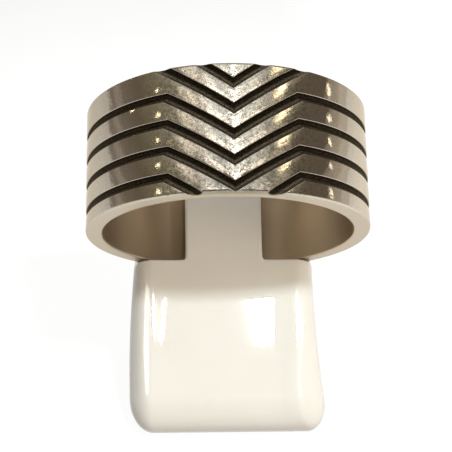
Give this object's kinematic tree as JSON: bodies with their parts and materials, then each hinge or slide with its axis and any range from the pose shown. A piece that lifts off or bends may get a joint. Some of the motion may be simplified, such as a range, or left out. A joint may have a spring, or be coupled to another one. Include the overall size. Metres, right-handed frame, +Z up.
{
  "type": "silver band ring on display stand",
  "caption": "Wide flat silver band ring with blackened grooves that turn down into nested chevrons at the front, held on a leaning white plastic display stand.",
  "frame": {"origin": "on the foot's face, under the middle of the whole part's box", "axes": "+X to the right, -Y towards the chevrons at the front, +Z up; the ring's axis leans back 45 degrees from +Z towards +Y"},
  "size_m": [0.0204, 0.0218, 0.0295],
  "materials": {
    "silver": "polished silver with fine scratches, grooves blackened",
    "plastic": "glossy moulded plastic"
  },
  "bodies": {
    "root": {"band": "silver", "stand": "plastic"}
  },
  "joints": []
}
